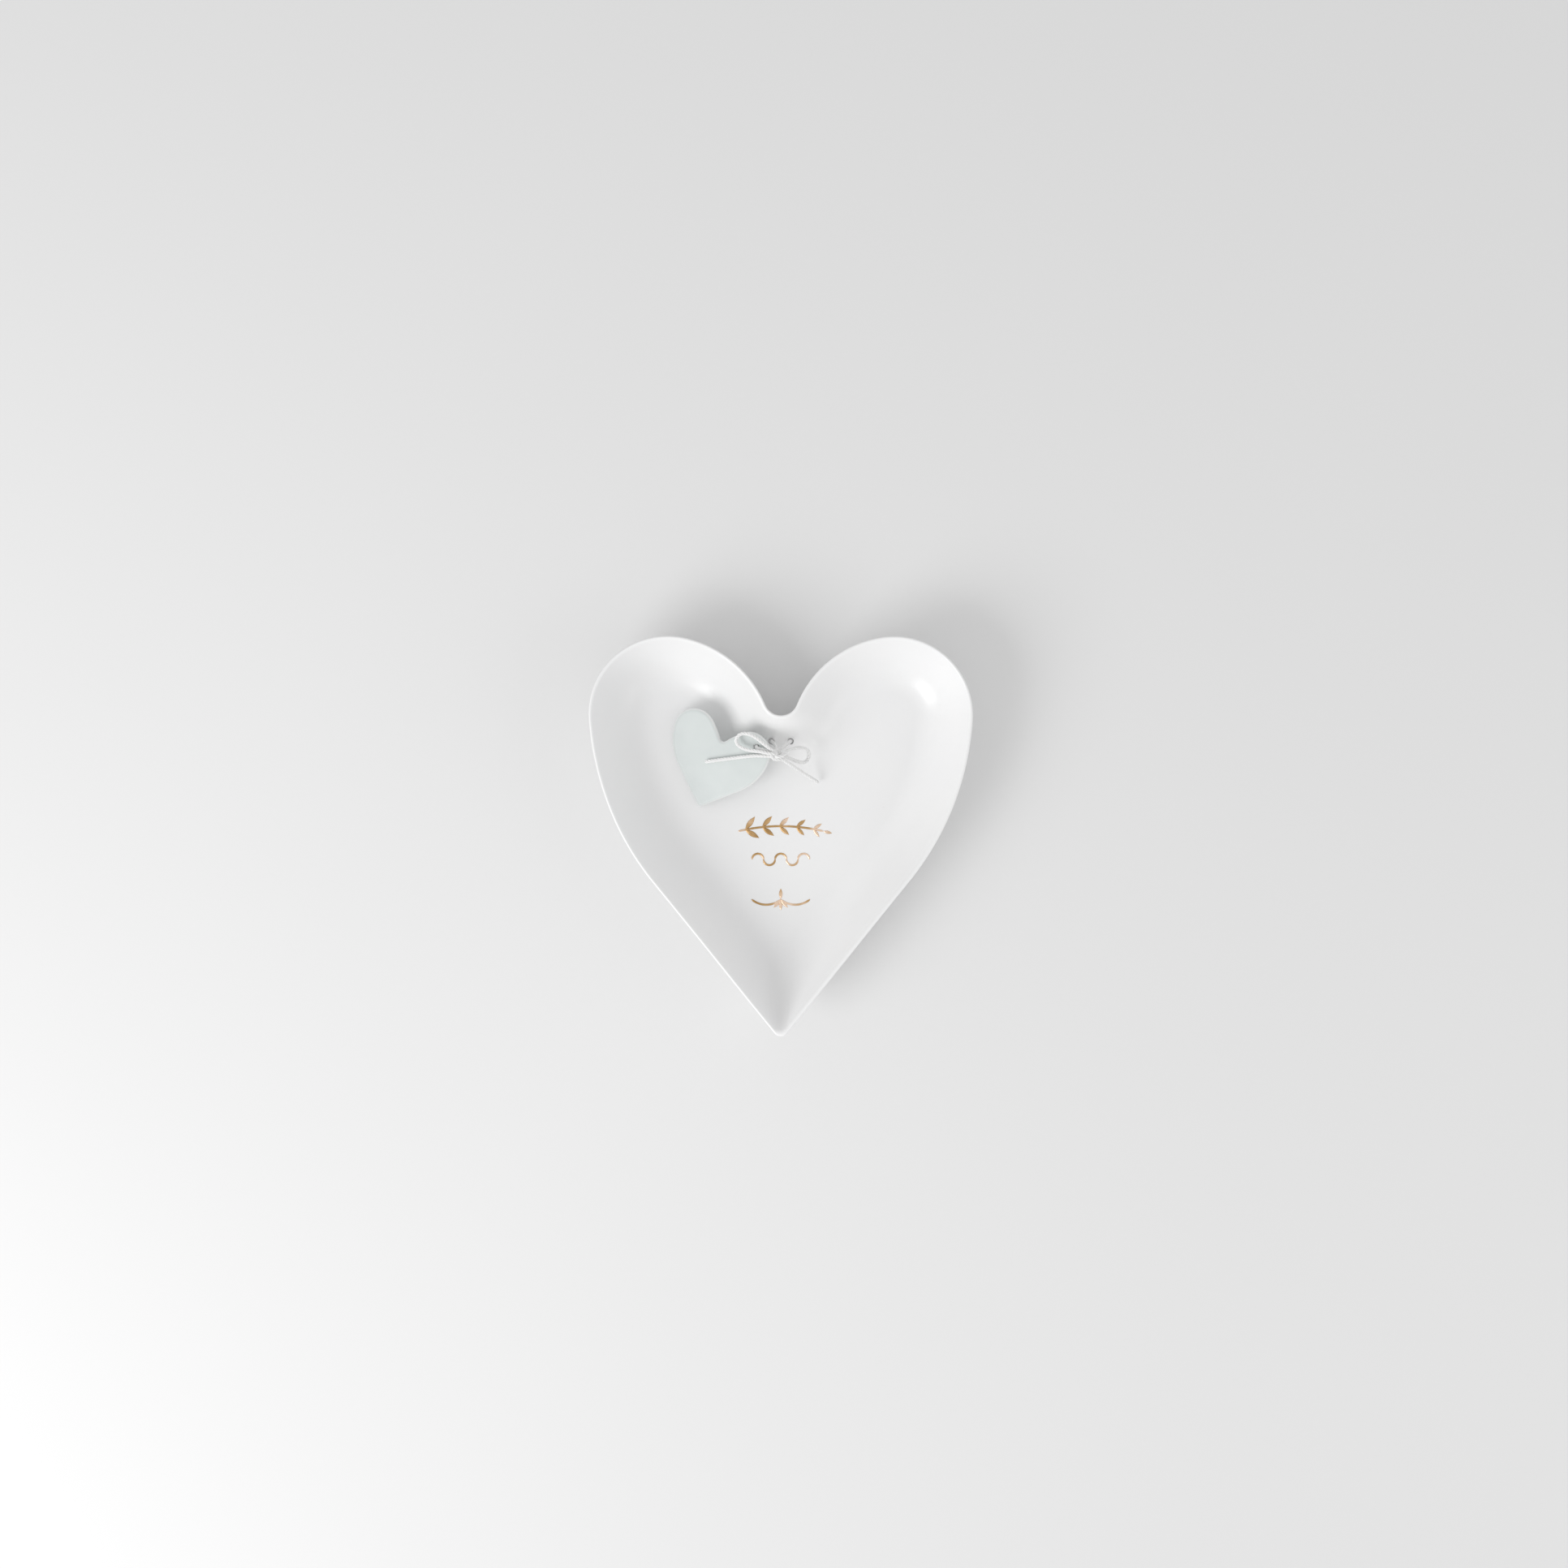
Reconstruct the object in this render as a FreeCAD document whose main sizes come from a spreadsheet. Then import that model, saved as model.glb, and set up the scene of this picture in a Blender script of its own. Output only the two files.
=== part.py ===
import FreeCAD, Part
import math
import os
import Sketcher
from FreeCAD import Placement, Rotation, Vector

# A heart-shaped ring dish of white glazed porcelain.  A thin cotton cord is
# laced through two small holes below the cleft of the heart and tied in a
# bow.  A flat heart tag hangs on the cord and leans on the wall of the dish.
# Three small gold ornaments are fired on the floor of the dish.
#
# Frame: +Z up, +Y towards the cleft, the tip towards -Y, and the origin on
# the table under the middle of the dish's outline.

DIMENSIONS = {
    # Heights and thicknesses of the dish
    "dish_height": 20.0,
    "floor_height": 3.5,
    "foot_height": 1.2,
    "foot_pad": 2.0,
    "foot_inset": 15.0,
    "recess_inset": 17.5,
    "recess_depth": 1.0,
    # Wall: how far the foot and the floor lie inside the rim, and the powers
    # that curve the wall's two faces
    "outer_reach": 17.0,
    "inner_reach": 19.0,
    "outer_curve": 2.1,
    "inner_curve": 2.2,
    "lip_width": 1.3,
    "lip_round": 0.6,
    # Arcs of the rim
    "rim_cleft_centre": 45.0,
    "rim_cleft_radius": 5.25,
    "rim_lobe_across": 37.0,
    "rim_lobe_along": 39.6,
    "rim_lobe_radius": 26.05,
    "rim_shoulder_radius": 36.95,
    "rim_flank_radius": 95.65,
    "rim_flank_angle": -4.2,
    "rim_tip_corner": -67.5,
    "rim_tip_radius": 2.5,
    "tip_softening": 0.3,
    # Holes for the cord
    "hole_across": 3.2,
    "hole_along": 31.1,
    "hole_diameter": 2.0,
    # Heart tag and its arcs
    "tag_thickness": 2.0,
    "tag_round": 0.75,
    "tag_cleft_centre": 1.7,
    "tag_cleft_radius": 1.4,
    "tag_lobe_across": 10.2,
    "tag_lobe_along": 0.2,
    "tag_lobe_radius": 7.1,
    "tag_shoulder_radius": 36.0,
    "tag_flank_radius": 18.4,
    "tag_flank_angle": -2.2,
    "tag_tip_corner": -23.4,
    "tag_tip_radius": 0.8,
    "tag_hole_across": 11.85,
    "tag_hole_along": 3.25,
    "tag_hole_diameter": 2.1,
    # Where the tag lies: the cleft of its underside, its turn, and its lean
    "tag_east": -19.0,
    "tag_north": 30.9,
    "tag_rise": 9.6,
    "tag_turn": -21.4,
    "tag_lean": 20.5,
    "tag_lean_azimuth": 21.8,
    # Cord and knot
    "cord_diameter": 1.1,
    "knot_radius": 1.5,
    "knot_half_height": 1.2,
    "knot_east": -1.8,
    "knot_north": 26.4,
    "knot_rise": 17.7,
    # Gold ornaments
    "gold_thickness": 0.15,
    "gold_stroke": 0.7,
}

# Sections of the two faces of the wall, as fractions of the way from the
# foot or the floor out to the rim.
OUTER_STEPS = (0.0, 0.2, 0.4, 0.6, 0.8, 1.0)
INNER_STEPS = (0.0, 0.12, 0.28, 0.45, 0.62, 0.8, 0.95, 1.05)

# Routes of the cord, in the frame of the dish.
LACING_ROUTE = (
    (-1.2, 28.2, 16.3),
    (-1.8, 29.9, 12.7),
    (-3.2, 31.1, 10.1),
    (-3.2, 31.1, 4.2),
    (-2.3, 31.1, 3.4),
    (2.3, 31.1, 3.4),
    (3.2, 31.1, 4.2),
    (3.2, 31.1, 10.1),
    (2.0, 29.9, 13.2),
    (0.0, 28.1, 16.4),
)
TIE_ROUTE = (
    (-3.6, 27.5, 17.5),
    (-6.2, 28.2, 17.3),
    (-8.35, 28.98, 16.2),
    (-7.0, 29.5, 12.3),
    (-4.3, 28.0, 12.6),
    (-1.5, 27.1, 13.5),
    (-1.3, 26.5, 16.1),
)
LEFT_LOOP_ROUTE = (
    (-3.6, 26.9, 18.8),
    (-7.0, 27.6, 18.3),
    (-10.6, 28.0, 17.1),
    (-13.4, 29.0, 15.9),
    (-15.0, 31.1, 15.5),
    (-13.6, 33.3, 16.1),
    (-11.0, 33.6, 17.0),
    (-8.0, 32.1, 18.0),
    (-5.6, 30.1, 18.5),
    (-3.6, 28.5, 18.3),
)
LEFT_TAIL_ROUTE = (
    (-3.6, 26.1, 17.5),
    (-8.3, 26.3, 16.0),
    (-13.2, 25.8, 14.1),
    (-18.6, 25.1, 12.2),
    (-24.9, 24.3, 9.8),
)
RIGHT_LOOP_ROUTE = (
    (0.15, 27.1, 18.1),
    (2.4, 28.2, 16.5),
    (5.0, 28.8, 13.8),
    (7.5, 28.9, 11.2),
    (9.3, 27.7, 9.6),
    (9.3, 25.4, 9.0),
    (7.9, 23.8, 9.6),
    (5.3, 24.3, 11.7),
    (2.7, 25.5, 14.2),
    (0.1, 26.5, 16.8),
)
RIGHT_TAIL_ROUTE = (
    (0.15, 25.6, 17.9),
    (2.0, 24.1, 15.6),
    (5.5, 21.7, 11.2),
    (8.9, 19.6, 7.4),
    (12.4, 17.4, 5.0),
)


def make_sheet(document):
    """The spreadsheet that holds every driving dimension under its name."""
    sheet = document.addObject("Spreadsheet::Sheet", "Dimensions")
    for row, (name, value) in enumerate(DIMENSIONS.items(), start=1):
        sheet.set(f"A{row}", name)
        sheet.set(f"B{row}", str(value))
        sheet.setAlias(f"B{row}", name)
    document.recompute()
    return sheet


def heart_arcs(prefix, inset, tip_radius):
    """Centres, radii and angles of one half of a heart, inset evenly.

    Each half is five tangent pieces: half of the cleft, a shoulder, the
    lobe, a long flank and a straight run to the rounded tip.
    """
    size = {name[len(prefix):]: value for name, value in DIMENSIONS.items()
            if name.startswith(prefix)}
    cleft = Vector(0, size["cleft_centre"], 0)
    lobe = Vector(size["lobe_across"], size["lobe_along"], 0)
    to_cleft = size["shoulder_radius"] + size["cleft_radius"]
    to_lobe = size["shoulder_radius"] - size["lobe_radius"]
    apart = lobe - cleft
    along = (to_cleft ** 2 - to_lobe ** 2 + apart.Length ** 2) / (2 * apart.Length)
    beside = math.sqrt(to_cleft ** 2 - along ** 2)
    ahead = Vector(apart).normalize()
    shoulder = cleft + ahead * along + Vector(ahead.y, -ahead.x, 0) * beside
    flank_angle = math.radians(size["flank_angle"])
    outward = Vector(math.cos(flank_angle), math.sin(flank_angle), 0)
    flank = lobe - outward * (size["flank_radius"] - size["lobe_radius"])
    to_tip = Vector(0, size["tip_corner"], 0) - flank
    side_angle = math.atan2(to_tip.y, to_tip.x)
    side_angle += math.acos(size["flank_radius"] / to_tip.Length)
    tip_rise = (inset + tip_radius) / -math.sin(side_angle)
    toward_cleft = cleft - shoulder
    toward_lobe = lobe - shoulder
    return {
        "cleft": (cleft, size["cleft_radius"] + inset),
        "shoulder": (shoulder, size["shoulder_radius"] - inset),
        "lobe": (lobe, size["lobe_radius"] - inset),
        "flank": (flank, size["flank_radius"] - inset),
        "tip": (Vector(0, size["tip_corner"] + tip_rise, 0), tip_radius),
        "angles": {
            "cleft": math.atan2(-toward_cleft.y, -toward_cleft.x),
            "shoulder": math.atan2(toward_cleft.y, toward_cleft.x),
            "lobe": math.atan2(toward_lobe.y, toward_lobe.x),
            "flank": flank_angle,
            "side": side_angle,
        },
    }


def circle_point(centre, radius, angle):
    return centre + Vector(math.cos(angle), math.sin(angle), 0) * radius


def circle_arc(centre, radius, start, end):
    """An arc that runs counter-clockwise from start to end."""
    return Part.ArcOfCircle(Part.Circle(centre, Vector(0, 0, 1), radius), start, end)


def heart_sketch(body, name, prefix, inset, height, tip_radius=None):
    """A closed heart sketch, inset by one expression and raised by another.

    inset and height are pairs: a number, and the expression that it equals.
    """
    inset_value, inset_expression = inset
    height_value, height_expression = height
    if tip_radius is None:
        radius_value = DIMENSIONS[prefix + "tip_radius"]
        radius_value += DIMENSIONS["tip_softening"] * inset_value
    else:
        radius_value = tip_radius
    arcs = heart_arcs(prefix, inset_value, radius_value)
    turn = arcs["angles"]

    def mirrored(centre):
        return Vector(-centre.x, centre.y, 0)

    def left(angle):
        return math.pi - angle

    side_points = {}
    for end, (centre, radius) in (("flank", arcs["flank"]), ("tip", arcs["tip"])):
        side_points[end] = circle_point(centre, radius, turn["side"])
    geometry = [
        circle_arc(*arcs["cleft"], left(turn["cleft"]), turn["cleft"] + 2 * math.pi),
        circle_arc(*arcs["shoulder"], turn["lobe"], turn["shoulder"]),
        circle_arc(*arcs["lobe"], turn["flank"], turn["lobe"]),
        circle_arc(*arcs["flank"], turn["side"], turn["flank"]),
        Part.LineSegment(side_points["flank"], side_points["tip"]),
        circle_arc(*arcs["tip"], left(turn["side"]), turn["side"] + 2 * math.pi),
        Part.LineSegment(mirrored(side_points["tip"]), mirrored(side_points["flank"])),
    ]
    for piece, start, end in (("flank", "flank", "side"), ("lobe", "lobe", "flank"),
                              ("shoulder", "shoulder", "lobe")):
        centre, radius = arcs[piece]
        geometry.append(circle_arc(mirrored(centre), radius, left(turn[start]),
                                   left(turn[end])))
    sketch = flat_sketch(body, name, height_value, height_expression)
    sketch.addGeometry(geometry, False)
    # Each pair is a piece of the outline and the end that it shares.
    start, end = 1, 2
    joints = (
        ((0, end), (1, end)), ((1, start), (2, end)), ((2, start), (3, end)),
        ((3, start), (4, start)), ((4, end), (5, end)), ((5, start), (6, start)),
        ((6, end), (7, end)), ((7, start), (8, end)), ((8, start), (9, end)),
        ((9, start), (0, start)),
    )
    for first, second in joints:
        sketch.addConstraint(Sketcher.Constraint("Tangent", *first, *second))
    sized = (("cleft", (0,), "+"), ("shoulder", (1, 9), "-"), ("lobe", (2, 8), "-"),
             ("flank", (3, 7), "-"))
    for piece, indices, sign in sized:
        for index in indices:
            expression = f"Dimensions.{prefix}{piece}_radius {sign} ({inset_expression})"
            bind_radius(sketch, index, arcs[piece][1], f"{piece}{index}", expression)
    for index, sign in ((2, 1), (8, -1)):
        centre = arcs["lobe"][0]
        bind_place(sketch, index, "X", sign * centre.x, f"lobe_across{index}",
                   f"{sign} * Dimensions.{prefix}lobe_across")
        bind_place(sketch, index, "Y", centre.y, f"lobe_along{index}",
                   f"Dimensions.{prefix}lobe_along")
    return sketch


def flat_sketch(body, name, height, expression):
    """An empty sketch parallel to the body's own XY plane."""
    plane = [item for item in body.Origin.OriginFeatures if item.Role == "XY_Plane"][0]
    sketch = body.newObject("Sketcher::SketchObject", name)
    sketch.AttachmentSupport = (plane, [""])
    sketch.MapMode = "FlatFace"
    sketch.AttachmentOffset = Placement(Vector(0, 0, height), Rotation())
    if expression:
        sketch.setExpression("AttachmentOffset.Base.z", expression)
    return sketch


def bind_radius(sketch, index, value, name, expression):
    number = sketch.addConstraint(Sketcher.Constraint("Radius", index, value))
    sketch.renameConstraint(number, name)
    sketch.setExpression(f"Constraints.{name}", expression)


def bind_place(sketch, index, axis, value, name, expression):
    """Holds the centre of a circle or arc at a distance from the origin."""
    centre = 3
    rule = Sketcher.Constraint(f"Distance{axis}", -1, 1, index, centre, value)
    number = sketch.addConstraint(rule)
    sketch.renameConstraint(number, name)
    sketch.setExpression(f"Constraints.{name}", expression)


def add_circle(sketch, across, along, diameter):
    """A hole's circle; each argument is a pair of a number and its expression."""
    centre = Vector(across[0], along[0], 0)
    circle = Part.Circle(centre, Vector(0, 0, 1), diameter[0] / 2)
    index = sketch.addGeometry(circle, False)
    bind_radius(sketch, index, diameter[0] / 2, f"radius{index}", f"({diameter[1]}) / 2")
    bind_place(sketch, index, "X", across[0], f"across{index}", across[1])
    bind_place(sketch, index, "Y", along[0], f"along{index}", along[1])


def named(name, factor=1):
    """A dimension's value and the expression that reads it."""
    text = f"Dimensions.{name}"
    if factor != 1:
        text = f"{factor} * {text}"
    return DIMENSIONS[name] * factor, text


def wall_section(step, base, reach, curve, narrowest=""):
    """Inset and height of the wall's face at one step from base to rim."""
    base_value, reach_value = DIMENSIONS[base], DIMENSIONS[reach]
    rim_value = DIMENSIONS[narrowest] if narrowest else 0.0
    rim_text = f"Dimensions.{narrowest}" if narrowest else "0"
    inset = reach_value - (reach_value - rim_value) * step
    rise = (DIMENSIONS["dish_height"] - base_value) * step ** DIMENSIONS[curve]
    inset_text = f"Dimensions.{reach} - (Dimensions.{reach} - {rim_text}) * {step}"
    rise_text = f"(Dimensions.dish_height - Dimensions.{base}) * {step} ^ Dimensions.{curve}"
    return (inset, inset_text), (base_value + rise, f"Dimensions.{base} + {rise_text}")


def make_dish(document):
    """The porcelain dish: flared wall, flat floor, foot ring and two holes."""
    body = document.addObject("PartDesign::Body", "dish")
    on_table = (0.0, "")
    foot = heart_sketch(body, "foot_outline", "rim_", named("foot_inset"), on_table)
    pad = body.newObject("PartDesign::Pad", "foot")
    pad.Profile = foot
    pad.Length = DIMENSIONS["foot_pad"]
    pad.setExpression("Length", "Dimensions.foot_pad")
    outer = [heart_sketch(body, f"outer_section_{number}", "rim_",
                          *wall_section(step, "foot_height", "outer_reach", "outer_curve"))
             for number, step in enumerate(OUTER_STEPS)]
    wall = body.newObject("PartDesign::AdditiveLoft", "wall")
    wall.Profile = outer[0]
    wall.Sections = outer[1:]
    inner = [heart_sketch(body, f"inner_section_{number}", "rim_",
                          *wall_section(step, "floor_height", "inner_reach", "inner_curve",
                                        "lip_width"))
             for number, step in enumerate(INNER_STEPS)]
    bowl = body.newObject("PartDesign::SubtractiveLoft", "bowl")
    bowl.Profile = inner[0]
    bowl.Sections = inner[1:]
    recess_outline = heart_sketch(body, "recess_outline", "rim_", named("recess_inset"),
                                  on_table)
    recess = body.newObject("PartDesign::Pocket", "foot_recess")
    recess.Profile = recess_outline
    recess.Reversed = True
    recess.Length = DIMENSIONS["recess_depth"]
    recess.setExpression("Length", "Dimensions.recess_depth")
    holes_outline = flat_sketch(body, "hole_circles", 0.0, "")
    for side in (-1, 1):
        add_circle(holes_outline, named("hole_across", side), named("hole_along"),
                   named("hole_diameter"))
    holes = body.newObject("PartDesign::Pocket", "cord_holes")
    holes.Profile = holes_outline
    holes.Reversed = True
    holes.Length = DIMENSIONS["dish_height"]
    holes.setExpression("Length", "Dimensions.dish_height")
    document.recompute()
    lip = body.newObject("PartDesign::Fillet", "rounded_lip")
    lip.Base = (holes, edges_at_height(holes.Shape, DIMENSIONS["dish_height"]))
    lip.Radius = DIMENSIONS["lip_round"]
    lip.setExpression("Radius", "Dimensions.lip_round")
    body.Tip = lip
    return body


def edges_at_height(shape, height):
    """Names of the edges that lie level at one height."""
    return [f"Edge{number}" for number, edge in enumerate(shape.Edges, start=1)
            if all(abs(point.Z - height) < 0.01 for point in edge.Vertexes)
            and abs(edge.BoundBox.ZMax - edge.BoundBox.ZMin) < 0.01]


def make_tag(document):
    """The flat heart tag, with rounded edges and its own cord hole."""
    body = document.addObject("PartDesign::Body", "heart_tag")
    outline = heart_sketch(body, "tag_outline", "tag_", (0.0, "0"), (0.0, ""),
                           DIMENSIONS["tag_tip_radius"])
    slab = body.newObject("PartDesign::Pad", "slab")
    slab.Profile = outline
    slab.Length = DIMENSIONS["tag_thickness"]
    slab.setExpression("Length", "Dimensions.tag_thickness")
    document.recompute()
    edges = edges_at_height(slab.Shape, 0.0)
    edges += edges_at_height(slab.Shape, DIMENSIONS["tag_thickness"])
    rounded = body.newObject("PartDesign::Fillet", "rounded_edges")
    rounded.Base = (slab, edges)
    rounded.Radius = DIMENSIONS["tag_round"]
    rounded.setExpression("Radius", "Dimensions.tag_round")
    circle = flat_sketch(body, "tag_hole_circle", 0.0, "")
    add_circle(circle, named("tag_hole_across"), named("tag_hole_along"),
               named("tag_hole_diameter"))
    hole = body.newObject("PartDesign::Pocket", "tag_hole")
    hole.Profile = circle
    hole.Reversed = True
    hole.Length = 2 * DIMENSIONS["tag_thickness"]
    hole.setExpression("Length", "2 * Dimensions.tag_thickness")
    body.Tip = hole
    azimuth = math.radians(DIMENSIONS["tag_lean_azimuth"])
    level_axis = Vector(math.sin(azimuth), -math.cos(azimuth), 0)
    lean = Rotation(level_axis, DIMENSIONS["tag_lean"])
    turn = Rotation(Vector(0, 0, 1), DIMENSIONS["tag_turn"])
    corner = Vector(*(DIMENSIONS[name] for name in ("tag_east", "tag_north", "tag_rise")))
    body.Placement = Placement(corner, lean.multiply(turn))
    for axis, name in zip("xyz", ("tag_east", "tag_north", "tag_rise")):
        body.setExpression(f"Placement.Base.{axis}", f"Dimensions.{name}")
    return body


def rounded_path(name, route):
    """Straight runs joined by tangent arcs as large as their runs allow."""
    corners = [Vector(*point) for point in route]
    edges = []
    radii = []
    begin = corners[0]
    for before, corner, after in zip(corners, corners[1:], corners[2:]):
        back = before - corner
        ahead = after - corner
        half_turn = (math.pi - back.getAngle(ahead)) / 2
        setback = 0.45 * min(back.Length, ahead.Length)
        radius = setback / math.tan(half_turn)
        radii.append(round(radius, 1))
        entry = corner + back.normalize() * setback
        leave = corner + ahead.normalize() * setback
        inward = (back + ahead).normalize()
        middle = corner + inward * (radius / math.cos(half_turn) - radius)
        edges.append(Part.LineSegment(begin, entry).toShape())
        edges.append(Part.Arc(entry, middle, leave).toShape())
        begin = leave
    edges.append(Part.LineSegment(begin, corners[-1]).toShape())
    print(f"{name}: bend radii {radii} mm")
    return Part.Wire(edges)


def make_cord(document, name, route):
    """One stretch of the cord: a round section swept along its route."""
    path = document.addObject("Part::Feature", f"{name}_path")
    path.Shape = rounded_path(name, route)
    section = document.addObject("Part::Circle", f"{name}_section")
    section.Radius = DIMENSIONS["cord_diameter"] / 2
    section.setExpression("Radius", "Dimensions.cord_diameter / 2")
    first_run = Vector(*route[1]) - Vector(*route[0])
    section.Placement = Placement(Vector(*route[0]), Rotation(Vector(0, 0, 1), first_run))
    cord = document.addObject("Part::Sweep", name)
    cord.Sections = [section]
    cord.Spine = (path, [f"Edge{number + 1}" for number in range(len(path.Shape.Edges))])
    cord.Solid = True
    cord.Frenet = False
    return cord


def make_knot(document):
    """The tight wrap in the middle of the bow."""
    knot = document.addObject("Part::Ellipsoid", "bow_knot")
    knot.setExpression("Radius1", "Dimensions.knot_half_height")
    knot.setExpression("Radius2", "Dimensions.knot_radius")
    knot.setExpression("Radius3", "Dimensions.knot_radius")
    for axis, name in zip("xyz", ("knot_east", "knot_north", "knot_rise")):
        knot.setExpression(f"Placement.Base.{axis}", f"Dimensions.{name}")
    return knot


def stroke(centre, radius, start, end, width):
    """A flat ring segment with round ends, as a face on the XY plane."""
    half = width / 2
    ends = [circle_point(centre, radius, angle) for angle in (start, end)]
    outside = circle_arc(centre, radius + half, start, end).toShape()
    inside = circle_arc(centre, radius - half, start, end).toShape()
    caps = []
    for point, angle, ahead in ((ends[0], start, -1), (ends[1], end, 1)):
        along = Vector(-math.sin(angle), math.cos(angle), 0) * ahead
        outward = Vector(math.cos(angle), math.sin(angle), 0)
        caps.append(Part.Arc(point + outward * half, point + along * half,
                             point - outward * half).toShape())
    return Part.Face(Part.Wire(Part.__sortEdges__([outside, inside] + caps)))


def leaf(base, direction, length, width):
    """A pointed leaf between two arcs, as a face on the XY plane."""
    ahead = Vector(math.cos(direction), math.sin(direction), 0)
    aside = Vector(-ahead.y, ahead.x, 0)
    tip = base + ahead * length
    middle = base + ahead * (length / 2)
    upper = Part.Arc(base, middle + aside * (width / 2), tip).toShape()
    lower = Part.Arc(tip, middle - aside * (width / 2), base).toShape()
    return Part.Face(Part.Wire([upper, lower]))


def make_ornament(document, name, faces):
    """One gold ornament, fired flat on the floor of the dish."""
    thickness = Vector(0, 0, DIMENSIONS["gold_thickness"])
    solids = [face.extrude(thickness) for face in faces]
    shape = solids[0].multiFuse(solids[1:]).removeSplitter()
    ornament = document.addObject("Part::Feature", name)
    ornament.Shape = shape
    ornament.Placement = Placement(Vector(0, 0, DIMENSIONS["floor_height"]), Rotation())
    ornament.setExpression("Placement.Base.z", "Dimensions.floor_height")
    return ornament


def sprig_faces(width):
    """A long, gently bent stem with pairs of leaves."""
    radius, centre = 60.0, Vector(0, -57.0, 0)
    half_angle = math.radians(13.5)
    upright = math.pi / 2
    faces = [stroke(centre, radius, upright - half_angle, upright + half_angle, width)]
    pairs = 5
    for number in range(pairs):
        angle = upright + half_angle - 2 * half_angle * (number + 0.4) / pairs
        base = circle_point(centre, radius, angle)
        heading = angle - math.pi / 2
        for side in (-1, 1):
            size = 5.4 - 0.5 * number
            faces.append(leaf(base, heading + side * math.radians(42), size, 0.32 * size))
    end = circle_point(centre, radius, upright - half_angle)
    faces.append(leaf(end, -half_angle, 3.0, 1.1))
    return faces


def wave_faces(width):
    """A row of alternating half rings, like a small running wave."""
    radius, rings, row = 1.9, 5, -8.0
    faces = []
    for number in range(rings):
        across = (number - (rings - 1) / 2) * 2 * radius
        start = 0.0 if number % 2 == 0 else math.pi
        faces.append(stroke(Vector(across, row, 0), radius, start, start + math.pi, width))
    return faces


def garland_faces(width):
    """A hanging bow-shaped garland with a small leaf at each swag."""
    row = -15.5
    swag = 7.5
    half_angle = math.radians(40)
    faces = []
    for side in (-1, 1):
        centre = Vector(side * swag * math.sin(half_angle), row, 0)
        faces.append(stroke(centre, swag, 1.5 * math.pi - half_angle,
                            1.5 * math.pi + half_angle, width))
    joint = Vector(0, row - swag * math.cos(half_angle), 0)
    for heading in (-90, -50, -130, 90):
        faces.append(leaf(joint, math.radians(heading), 3.6, 1.2))
    return faces


def main():
    document = FreeCAD.newDocument("heart_ring_dish")
    make_sheet(document)
    width = DIMENSIONS["gold_stroke"]
    nodes = [
        make_dish(document),
        make_tag(document),
        make_cord(document, "cord_lacing", LACING_ROUTE),
        make_cord(document, "cord_tie", TIE_ROUTE),
        make_knot(document),
        make_cord(document, "bow_loop_left", LEFT_LOOP_ROUTE),
        make_cord(document, "bow_loop_right", RIGHT_LOOP_ROUTE),
        make_cord(document, "cord_tail_left", LEFT_TAIL_ROUTE),
        make_cord(document, "cord_tail_right", RIGHT_TAIL_ROUTE),
        make_ornament(document, "gold_sprig", sprig_faces(width)),
        make_ornament(document, "gold_wave", wave_faces(width)),
        make_ornament(document, "gold_garland", garland_faces(width)),
    ]
    document.recompute()
    for item in document.Objects:
        if {"Invalid", "Error"} & set(item.State):
            raise RuntimeError(f"{item.Name} is {item.State}")
    os.makedirs("parts", exist_ok=True)
    for node in nodes:
        shape = node.Shape
        if shape.isNull() or not shape.isValid() or not shape.Solids:
            raise RuntimeError(f"{node.Label} has no valid solid")
        print(f"{node.Label}: {shape.Volume:.1f} mm3, {len(shape.Solids)} solid")
        shape.exportStep(f"parts/{node.Label}.step")


main()
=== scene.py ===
import math

import bmesh
import bpy
from mathutils import Matrix, Vector, noise
from mathutils.geometry import delaunay_2d_cdt


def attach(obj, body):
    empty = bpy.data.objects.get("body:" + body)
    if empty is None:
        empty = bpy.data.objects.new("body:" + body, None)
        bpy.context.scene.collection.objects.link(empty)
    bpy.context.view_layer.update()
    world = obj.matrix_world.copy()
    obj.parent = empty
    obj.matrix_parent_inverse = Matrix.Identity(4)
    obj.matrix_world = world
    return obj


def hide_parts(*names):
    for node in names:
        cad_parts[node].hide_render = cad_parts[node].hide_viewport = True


# A heart-shaped ring dish of white glazed porcelain, with a heart tag tied on
# by a bow of twisted cotton cord and three gold ornaments on its floor.
# Everything is in metres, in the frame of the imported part.

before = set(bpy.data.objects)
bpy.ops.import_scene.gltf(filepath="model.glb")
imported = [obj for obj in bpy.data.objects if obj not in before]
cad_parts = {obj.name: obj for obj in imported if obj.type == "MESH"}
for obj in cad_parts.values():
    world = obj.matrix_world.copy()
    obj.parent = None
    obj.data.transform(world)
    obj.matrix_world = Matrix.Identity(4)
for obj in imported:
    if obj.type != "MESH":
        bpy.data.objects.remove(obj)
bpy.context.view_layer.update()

# The hand-made unevenness of the glazed pieces, the same at every run: how far
# a surface strays, and how many swells there are to the metre.
UNEVENNESS_SEED = 4
DISH_UNEVENNESS = 0.00028
DISH_SWELLS = 22.0
TAG_UNEVENNESS = 0.00006
TAG_SWELLS = 90.0
noise.seed_set(UNEVENNESS_SEED)

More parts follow.
